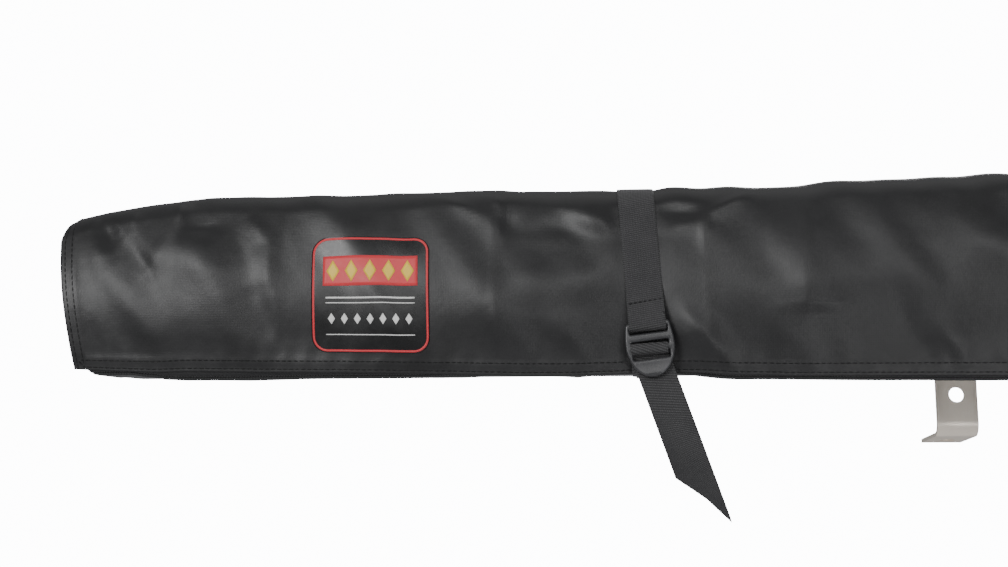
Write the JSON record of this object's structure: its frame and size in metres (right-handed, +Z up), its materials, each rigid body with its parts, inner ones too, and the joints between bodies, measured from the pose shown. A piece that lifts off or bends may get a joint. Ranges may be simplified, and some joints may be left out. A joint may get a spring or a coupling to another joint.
{
  "type": "vehicle side awning",
  "caption": "Soft-bagged side awning that bolts to a roof rack: strapped zip-up travel cover over a back board, folding telescopic arms and legs, and a canopy rolled on a front bar.",
  "frame": {"origin": "middle of the length, in the back plane of the board, level with the underside of the bracket feet", "axes": "+X along the vehicle, to the right seen from outboard; +Y inboard, towards the vehicle; +Z up"},
  "size_m": [2.0602, 0.1928, 0.2306],
  "materials": {
    "aluminium": "drawn and anodised, satin",
    "bracket_steel": "brushed stainless strip, scratched round the hole",
    "zinc": "bright zinc plate",
    "cover_cloth": "charcoal vinyl-coated cloth, fine weave, low sheen, creased",
    "zip_coil": "black nylon coil and tape",
    "webbing": "ribbed black webbing",
    "buckle_plastic": "moulded dark grey acetal, polished edges",
    "fitting_plastic": "moulded black nylon, light grain",
    "foot_rubber": "matt black rubber",
    "canopy_cloth": "grey ripstop cloth"
  },
  "bodies": {
    "root": {"back_board": "aluminium", "board_end_cap_left": "fitting_plastic", "board_end_cap_right": "fitting_plastic", "mounting_bracket_left": "bracket_steel", "mounting_bracket_right": "bracket_steel", "bracket_bolt_lower_left": "zinc", "bracket_bolt_lower_right": "zinc", "bracket_bolt_upper_left": "zinc", "bracket_bolt_upper_right": "zinc", "bracket_nut_lower_left": "zinc", "bracket_nut_lower_right": "zinc", "bracket_nut_upper_left": "zinc", "bracket_nut_upper_right": "zinc", "arm_bracket_left": "aluminium", "arm_bracket_right": "aluminium", "arm_pin_left": "zinc", "arm_pin_right": "zinc"},
    "lid": {"cover_front": "cover_cloth", "cover_end_left": "cover_cloth", "cover_end_right": "cover_cloth", "zip_upper": "zip_coil", "strap_upper_left": "webbing", "strap_upper_middle": "webbing", "strap_upper_right": "webbing"},
    "bottom": {"cover_bottom": "cover_cloth", "zip_lower": "zip_coil", "strap_lower_left": "webbing", "strap_lower_middle": "webbing", "strap_lower_right": "webbing"},
    "buckle_left": {"strap_buckle_left": "buckle_plastic"},
    "buckle_middle": {"strap_buckle_middle": "buckle_plastic"},
    "buckle_right": {"strap_buckle_right": "buckle_plastic"},
    "slider": {"zip_slider": "zinc"},
    "pull": {"zip_pull": "zinc"},
    "bar": {"front_bar": "aluminium", "bar_end_left": "fitting_plastic", "bar_end_right": "fitting_plastic", "leg_pin_left": "zinc", "leg_pin_right": "zinc", "canopy": "canopy_cloth", "roll_tie_left": "webbing", "roll_tie_right": "webbing"},
    "arm_left": {"arm_knuckle_left": "fitting_plastic", "arm_outer_left": "aluminium"},
    "arm_right": {"arm_knuckle_right": "fitting_plastic", "arm_outer_right": "aluminium"},
    "arm_tip_left": {"arm_inner_left": "aluminium"},
    "arm_tip_right": {"arm_inner_right": "aluminium"},
    "arm_clamp_left": {"arm_collar_left": "fitting_plastic"},
    "arm_clamp_right": {"arm_collar_right": "fitting_plastic"},
    "leg_left": {"leg_knuckle_left": "fitting_plastic", "leg_outer_left": "aluminium"},
    "leg_right": {"leg_knuckle_right": "fitting_plastic", "leg_outer_right": "aluminium"},
    "leg_tip_left": {"leg_inner_left": "aluminium", "leg_foot_left": "foot_rubber"},
    "leg_tip_right": {"leg_inner_right": "aluminium", "leg_foot_right": "foot_rubber"},
    "leg_clamp_left": {"leg_collar_left": "fitting_plastic"},
    "leg_clamp_right": {"leg_collar_right": "fitting_plastic"}
  },
  "joints": [
    {"name": "deploy", "type": "slide", "parent": "root", "child": "bar", "axis": [0, -1, 0], "range_m": [0, 1.9], "deforming": ["cover_front", "zip_upper", "cover_bottom", "strap_lower_left", "strap_lower_middle", "strap_lower_right", "canopy", "roll_tie_left", "roll_tie_right"]},
    {"name": "lid_turn", "type": "hinge", "parent": "root", "child": "lid", "pos_m": [0, -0.008, 0.152], "axis": [1, 0, 0], "range_deg": [-160, 0]},
    {"name": "bottom_drop", "type": "hinge", "parent": "root", "child": "bottom", "pos_m": [0, -0.008, 0.046], "axis": [1, 0, 0], "range_deg": [0, 60]},
    {"name": "arm_left_swing", "type": "hinge", "parent": "root", "child": "arm_left", "pos_m": [-0.968, -0.0325, 0.07], "axis": [0, 0, 1], "range_deg": [-90, 0]},
    {"name": "arm_right_swing", "type": "hinge", "parent": "root", "child": "arm_right", "pos_m": [0.968, -0.0325, 0.102], "axis": [0, 0, 1], "range_deg": [0, 90]},
    {"name": "leg_left_fold", "type": "hinge", "parent": "bar", "child": "leg_left", "pos_m": [-0.965, -0.095, 0.062], "axis": [0, 1, 0], "range_deg": [0, 90]},
    {"name": "leg_right_fold", "type": "hinge", "parent": "bar", "child": "leg_right", "pos_m": [0.965, -0.071, 0.062], "axis": [0, 1, 0], "range_deg": [-90, 0]},
    {"name": "arm_left_extend", "type": "slide", "parent": "arm_left", "child": "arm_tip_left", "axis": [1, 0, 0], "range_m": [0, 0.884]},
    {"name": "arm_right_extend", "type": "slide", "parent": "arm_right", "child": "arm_tip_right", "axis": [-1, 0, 0], "range_m": [0, 0.884]},
    {"name": "leg_left_extend", "type": "slide", "parent": "leg_left", "child": "leg_tip_left", "axis": [1, 0, 0], "range_m": [0, 0.84]},
    {"name": "leg_right_extend", "type": "slide", "parent": "leg_right", "child": "leg_tip_right", "axis": [-1, 0, 0], "range_m": [0, 0.84]},
    {"name": "arm_left_clamp_twist", "type": "hinge", "parent": "arm_left", "child": "arm_clamp_left", "pos_m": [0.032, -0.0325, 0.07], "axis": [1, 0, 0], "range_deg": [0, 120]},
    {"name": "arm_right_clamp_twist", "type": "hinge", "parent": "arm_right", "child": "arm_clamp_right", "pos_m": [-0.032, -0.0325, 0.102], "axis": [-1, 0, 0], "range_deg": [0, 120]},
    {"name": "leg_left_clamp_twist", "type": "hinge", "parent": "leg_left", "child": "leg_clamp_left", "pos_m": [-0.035, -0.095, 0.062], "axis": [1, 0, 0], "range_deg": [0, 120]},
    {"name": "leg_right_clamp_twist", "type": "hinge", "parent": "leg_right", "child": "leg_clamp_right", "pos_m": [0.035, -0.071, 0.062], "axis": [-1, 0, 0], "range_deg": [0, 120]},
    {"name": "buckle_left_tilt", "type": "hinge", "parent": "lid", "child": "buckle_left", "pos_m": [-0.61577, -0.1265, 0.063], "axis": [0.9973, 0, 0.0728], "range_deg": [-35, 0]},
    {"name": "buckle_middle_tilt", "type": "hinge", "parent": "lid", "child": "buckle_middle", "pos_m": [0.00723, -0.1265, 0.063], "axis": [0.9973, 0, 0.0728], "range_deg": [-35, 0]},
    {"name": "buckle_right_tilt", "type": "hinge", "parent": "lid", "child": "buckle_right", "pos_m": [0.63023, -0.1265, 0.063], "axis": [0.9973, 0, 0.0728], "range_deg": [-35, 0]},
    {"name": "zip_slide", "type": "slide", "parent": "bottom", "child": "slider", "axis": [1, 0, 0], "range_m": [-1.88, 0]},
    {"name": "zip_pull_swing", "type": "hinge", "parent": "slider", "child": "pull", "pos_m": [0.94, -0.11563, 0.02613], "axis": [0, 0.891, -0.454], "range_deg": [-75, 75]}
  ],
  "couplings": [
    {"joint": "lid_turn", "follows": "deploy", "rad_per_m": -1.4697},
    {"joint": "bottom_drop", "follows": "deploy", "rad_per_m": 0.5511},
    {"joint": "arm_left_swing", "follows": "deploy", "rad_per_m": -0.8267},
    {"joint": "arm_right_swing", "follows": "deploy", "rad_per_m": 0.8267},
    {"joint": "leg_left_fold", "follows": "deploy", "rad_per_m": 0.8267},
    {"joint": "leg_right_fold", "follows": "deploy", "rad_per_m": -0.8267}
  ]
}
